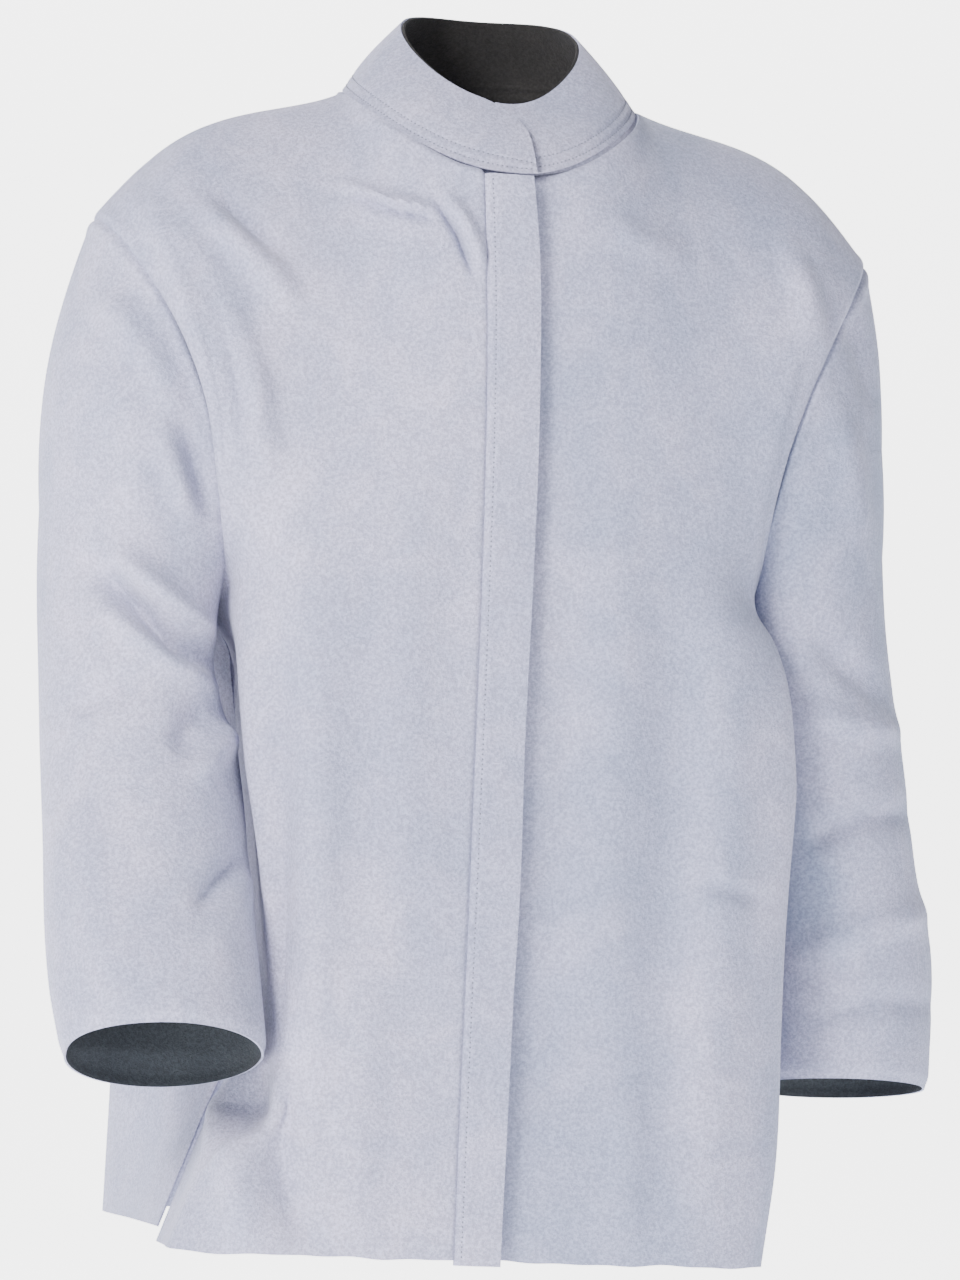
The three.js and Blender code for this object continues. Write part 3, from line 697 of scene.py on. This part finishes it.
# Sleeves. Each is one piece of suede set into the armhole; the elbow bends forwards and the
# leather breaks into a strong crease there, with smaller ones at the armpit and forearm.
CAP_SHARE, SLEEVE_EASE = 0.35, 6
CUFF_TURN, CUFF_EDGE = 2.6, 5
SLEEVE_FOLDS = {
    "right": [
        ([(-262, -330), (-240, -350), (-222, -368), (-205, -381), (-178, -392)], 9, -7.0),
        ([(-250, -318), (-228, -338), (-206, -356), (-180, -368)], 9, 5.0),
        ([(-252, -352), (-232, -371), (-212, -386), (-180, -404)], 9, 4.5),
        ([(-275, -424), (-250, -408), (-229, -397)], 9, -2.5),
        ([(-206, -450), (-196, -426), (-178, -413)], 12, -3.4),
        ([(-196, -466), (-182, -446), (-160, -430)], 9, 3.0),
        ([(-196, -548), (-182, -530), (-160, -508)], 8, -3.0),
        ([(-196, -584), (-176, -556), (-152, -520)], 10, 1.8),
        ([(-213, -238), (-202, -258), (-190, -290)], 8, -4.0),
        ([(-226, -228), (-214, -262), (-200, -300)], 9, 3.0),
        ([(-262, -150), (-244, -172), (-226, -200), (-214, -232)], 10, 3.0),
        ([(-250, -200), (-238, -250), (-234, -300)], 14, 2.0),
        ([(-268, -480), (-262, -540), (-252, -600)], 16, 2.0),
    ],
    "left": [
        ([(215, -350), (245, -372), (280, -392)], 10, -3.0),
        ([(212, -400), (250, -408), (292, -412)], 9, 2.5),
        ([(222, -486), (262, -470), (300, -466)], 9, -3.0),
        ([(228, -560), (270, -540), (318, -530)], 10, 2.5),
        ([(240, -600), (280, -590), (322, -592)], 8, -2.0),
        ([(222, -190), (236, -230), (250, -290)], 12, 2.5),
        ([(230, -130), (246, -160), (258, -200)], 10, -2.0),
    ],
}


def sleeve_surface(name, around, v):
    """A sleeve's points, round from its outside over the front, and down from the armhole."""
    sleeve, side = SLEEVES[name], SIDES[name]
    angle = (around * 2 * np.pi)[:, None]
    start = armhole_seam(name, angle)
    slant = sleeve["half_depth"][0] * np.sin(angle) * math.tan(sleeve["tilt"])
    z = lerp(start[..., 2], sleeve["height"][0] + slant, v[None, :])
    middle_x, middle_y, half_width, half_depth = sleeve_at(name, z)
    x = side * (middle_x + half_width * np.cos(angle))
    y = middle_y - half_depth * np.sin(angle)
    in_cap = np.clip(v / CAP_SHARE, 0, 1)[None, :]
    share = 1 - (1 - in_cap) ** 2
    ease = side * SLEEVE_EASE * np.sin(np.pi * in_cap)
    return stack(lerp(start[..., 0], x, share) + ease, lerp(start[..., 1], y, share), z)


around = np.linspace(0, 1, 170, endpoint=False)
sleeve_down = np.linspace(0, 1, 235) ** 1.12
# The sleeves' inside is near black: painted shade inside the sleeve tubes, not the leather's own
# colour.
inside_painted_shade = suede(
    "suede_inside_painted_shade", (0.045, 0.052, 0.062), (0.036, 0.042, 0.052), (0.026, 0.031, 0.04), sheen=0.08)
# The left sleeve's colours are darkened by 0.8 as painted shade, since it lies on the side away from
# the key light; the right sleeve keeps the plain colours.
for name, seed, shade_share, shift in (
    ("right", 11, 0, (1.1, 0.3, 0.8)),
    ("left", 12, 0.8, (1.6, 0.9, 0.2)),
):
    sleeve = folded(sleeve_surface(name, around, sleeve_down), SLEEVE_FOLDS[name], ring=True)
    wave = ripples(sleeve, seed, 130, 1.3) * smoothstep(sleeve_down, 0.02, 0.12)
    sleeve = sleeve + normals_of(sleeve, ring=True) * wave[..., None]
    sleeve = seamed(sleeve, np.linalg.norm(sleeve - sleeve[:, :1], axis=-1), ring=True)
    from_cuff = np.linalg.norm(sleeve - sleeve[:, -1:], axis=-1)
    turned = CUFF_TURN * np.exp(-((from_cuff / CUFF_EDGE) ** 2))
    sleeve = sleeve - outward(sleeve, ring=True) * turned[..., None]
    material = suede(f"suede_{name}_sleeve", *painted_shade_colours(shade_share), shift)
    materials, stands_for = [material, inside_painted_shade], [f"{name}_sleeve"]
    piece = finish_panel(f"{name}_arm", sleeve, materials, stands_for, ring=True, body=None)
    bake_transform(piece)

# Collar. A stand collar of an outer layer and a lining, leaning in to the neck; the lining is
# painted near black as the shade inside the neck.
# Its right end laps over the left and has a round top corner; two rows of stitches hold its foot.
COLLAR_HEIGHT, COLLAR_TOP_DROP, COLLAR_TOP_HALF_WIDTH = 53, 66, 60
COLLAR_TOP_FRONT_Y, COLLAR_TOP_BACK_Y = -74, 58
COLLAR_OVERLAP = math.radians(8)
COLLAR_CORNER = 26
COLLAR_BELLY, LAP_DEPTH, LINING_DEPTH = 3.0, 4.6, 1.8
LEAN = 1.26
STITCH_ROWS = (5, 13)
GROOVE_DEPTH, GROOVE_WIDTH = 0.55, 1.7


def collar_surface(c, v, depth=0.0):
    angle = lerp(COLLAR_OVERLAP, -2 * np.pi - COLLAR_OVERLAP, c)[:, None]
    girth = 2 * np.pi * COLLAR_TOP_HALF_WIDTH
    from_end = np.clip(c * girth, 0, COLLAR_CORNER)[:, None]
    drop = COLLAR_CORNER - np.sqrt(COLLAR_CORNER**2 - (COLLAR_CORNER - from_end) ** 2)
    up = v[None, :] * (1 - drop / (COLLAR_HEIGHT - COLLAR_TOP_DROP + NECK_DROP))
    tuck = (LAP_DEPTH * smoothstep(c, 0.72, 0.9))[:, None] * LEAN + depth * LEAN
    base = neck_seam(angle)
    middle = (COLLAR_TOP_FRONT_Y + COLLAR_TOP_BACK_Y) / 2
    reach = (COLLAR_TOP_BACK_Y - COLLAR_TOP_FRONT_Y) / 2
    x = lerp(base[..., 0], COLLAR_TOP_HALF_WIDTH * np.sin(angle), up)
    y = lerp(base[..., 1], middle - reach * np.cos(angle), up)
    top = COLLAR_HEIGHT - COLLAR_TOP_DROP * ((1 + np.cos(angle)) / 2) ** 1.9
    z = lerp(base[..., 2] + 0.4, top, up)
    belly = COLLAR_BELLY * np.sin(np.pi * up)
    x = x - (tuck - belly) * np.sin(angle)
    y = y + (tuck - belly) * np.cos(angle)
    return stack(x, y, z)


collar_around = np.concatenate([np.linspace(0, 0.05, 30), np.linspace(0.053, 1, 250)])
collar_up = np.linspace(0, 1, 60)
collar_suede = suede("suede_collar", SUEDE_LIGHT, SUEDE_MID, SUEDE_DEEP, (0.2, 1.3, 0.5))
# The lining's near-black colour is painted shade for the inside of the collar.
lining_painted_shade = suede(
    "suede_lining_painted_shade", (0.034, 0.032, 0.031), (0.024, 0.023, 0.023), (0.015, 0.015, 0.016), sheen=0.05)
for name, depth, material, nodes, slot in (
    ("collar", 0.0, collar_suede, ["collar_outer"], "suede"),
    ("collar_inside", LINING_DEPTH, lining_painted_shade, ["collar_lining"], "collar_lining"),
):
    points = collar_surface(collar_around, collar_up, depth)
    points = points + normals_of(points) * (ripples(points, 21, 90, 0.7))[..., None]
    for row in STITCH_ROWS:
        gap = np.linalg.norm(points - points[:, row : row + 1], axis=-1)
        groove = GROOVE_DEPTH * np.exp(-((gap / GROOVE_WIDTH) ** 2))
        points = points - outward(points) * groove[..., None]
    layer = finish_panel(name, points, [material], nodes)
    if slot == "suede":
        collar_points = points

# Placket. A strip sewn on along the right front's edge, its other edge raw-cut and free, over
# an inner strip that carries the snaps; it hangs slightly below the fronts.
PLACKET_BOTTOM = FRONT_HEM_Z - 3
FREE_EDGE_Z = [-768, -607, -533, -404, -286, -191, -118, -62]
FREE_EDGE_X = [13, 14.5, 16, 16, 18, 18, 16, 11]
EDGE_WAVE, STRIP_BELLY = 1.6, 0.8
INNER_DEPTH, INNER_INSET = 3.4, 1.5
PLACKET_STITCH = 5


def placket_surface(u, v, depth, inset):
    z = lerp(-NECK_DROP - 0.5, PLACKET_BOTTOM, v)
    seam = placket_seam_x(z)
    free = through(FREE_EDGE_Z, FREE_EDGE_X, z)
    x = lerp(seam[None, :], free[None, :] - inset, u[:, None])
    wave = EDGE_WAVE * u[:, None] ** 2 * np.sin(z / 47)[None, :]
    lift = np.abs(wave * smoothstep(-z, 120, 300)[None, :])
    y = front_line_y(z)[None, :] + depth - STRIP_BELLY * np.sin(np.pi * u)[:, None] - lift
    return stack(x, y, z[None, :])


strip_u = np.linspace(0, 1, 36)
strip_v = np.linspace(0, 1, 360)
outer = placket_surface(strip_u, strip_v, 0, 0)
outer = outer + normals_of(outer) * (ripples(outer, 31, 120, 0.35))[..., None]
outer = seamed(outer, np.linalg.norm(outer - outer[:1], axis=-1), swell=0.5, width=1.6)
gap = np.linalg.norm(outer - outer[PLACKET_STITCH : PLACKET_STITCH + 1], axis=-1)
groove = 0.5 * np.exp(-((gap / 1.4) ** 2))
outer = outer - outward(outer) * groove[..., None]
inner = placket_surface(strip_u[::2], strip_v, INNER_DEPTH, INNER_INSET)
placket_suede = suede("suede_placket", SUEDE_LIGHT, SUEDE_MID, SUEDE_DEEP, (0.9, 0.1, 1.2))
for name, points, nodes in (
    ("placket", outer, ["placket_outer"]),
    ("placket_underlayer", inner, ["placket_inner"]),
):
    finish_panel(name, points, [placket_suede], nodes, body="placket")

# Stitching. Bonded grey thread, in two rows round the foot of the collar and one row down the
# placket beside its seam; each stitch is pulled down into the nap.
STITCH_PITCH, STITCH_LENGTH, STITCH_RADIUS = 3.2, 1.5, 0.5
thread = blank_material("thread")
tree = thread.node_tree
place = node(tree, "ShaderNodeTexCoord", {}, {}, "Object")
twist = stretched(noise(tree, place, 0.0006, 2, 0.6), 0.35, 0.7)
tint = mixed(tree, twist, (0.150, 0.160, 0.210), (0.075, 0.085, 0.115))
lay = node(tree, "ShaderNodeBsdfPrincipled", {}, {"Base Color": tint, "Roughness": 0.6})
node(tree, "ShaderNodeOutputMaterial", {}, {"Surface": lay})


def stitch_row(name, path, normal, body):
    """A row of stitches along a path that lies in the leather's middle surface."""
    length = np.concatenate([[0], np.cumsum(np.linalg.norm(np.diff(path, axis=0), axis=1))])
    starts = np.arange(STITCH_PITCH, length[-1] - STITCH_PITCH, STITCH_PITCH)
    at = np.stack([np.interp(starts, length, path[:, k]) for k in range(3)], 1)
    to = np.stack([np.interp(starts + STITCH_LENGTH, length, path[:, k]) for k in range(3)], 1)
    up = np.stack([np.interp(starts, length, normal[:, k]) for k in range(3)], 1)
    up /= np.linalg.norm(up, axis=1, keepdims=True)
    ahead = (to - at) / np.linalg.norm(to - at, axis=1, keepdims=True)
    beside = np.cross(ahead, up)
    rings, sides = 5, 6
    turns = np.arange(sides) * 2 * np.pi / sides
    vertices, faces = [], []
    for k in range(len(starts)):
        base = len(vertices)
        for ring in range(rings):
            t = ring / (rings - 1)
            arch = math.sin(math.pi * t)
            middle = lerp(at[k], to[k], t) + up[k] * (LEATHER / 2 - 0.25 + 0.35 * arch)
            radius = STITCH_RADIUS * (0.35 + 0.65 * arch)
            for turned in turns:
                round_thread = math.cos(turned) * beside[k] + math.sin(turned) * up[k]
                vertices.append(middle + radius * round_thread)
        for ring in range(rings - 1):
            for i in range(sides):
                a, b = base + ring * sides + i, base + ring * sides + (i + 1) % sides
                faces.append((a, b, b + sides, a + sides))
        faces.append(tuple(base + i for i in reversed(range(sides))))
        faces.append(tuple(base + (rings - 1) * sides + i for i in range(sides)))
    mesh = bpy.data.meshes.new(name)
    mesh.from_pydata((np.array(vertices) / 1000).tolist(), [], faces)
    row = bpy.data.objects.new(name, mesh)
    bpy.context.scene.collection.objects.link(row)
    select_only(row)
    point_outwards()
    bpy.ops.object.shade_smooth()
    row.data.materials.append(thread)
    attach(row, body)


for count, level in enumerate(STITCH_ROWS, 1):
    path, normal = collar_points[:, level], outward(collar_points)[:, level]
    stitch_row(f"collar_stitching_{count}", path, normal, "torso")
path, normal = outer[PLACKET_STITCH], outward(outer)[PLACKET_STITCH]
stitch_row("placket_stitching", path, normal, "placket")

# Facing. A second strip of suede behind the left front's edge. It is cut to the same edge and
# lies against its inside, where it backs the snaps' posts.
FACING_COLUMNS, FACING_DEPTH = 22, 1.9
facing_points = left[:FACING_COLUMNS] - outward(left)[:FACING_COLUMNS] * FACING_DEPTH
finish_panel("facing", facing_points, [left_suede], ["left_front_facing"])

# Snaps. Nickel-plated brass, hidden between the placket's layers and on the left front.
# Each cap and socket is riveted through the placket's inner layer, each stud through the left
# front and its facing.
nickel = blank_material("snap_nickel")
tree = nickel.node_tree
place = node(tree, "ShaderNodeTexCoord", {}, {}, "Object")
wear = stretched(noise(tree, place, 0.0012, 4, 0.6), 0.4, 0.7)
tint = mixed(tree, wear * 0.4, (0.62, 0.62, 0.63), (0.48, 0.46, 0.43))
metal = node(tree, "ShaderNodeBsdfPrincipled", {}, {
    "Base Color": tint, "Roughness": 0.28 + wear * 0.2, "Metallic": 1.0})
node(tree, "ShaderNodeOutputMaterial", {}, {"Surface": metal})
for name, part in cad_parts.items():
    if name.startswith("snap_"):
        part.data.materials.clear()
        part.data.materials.append(nickel)
        select_only(part)
        bpy.ops.object.shade_smooth_by_angle(angle=math.radians(35))
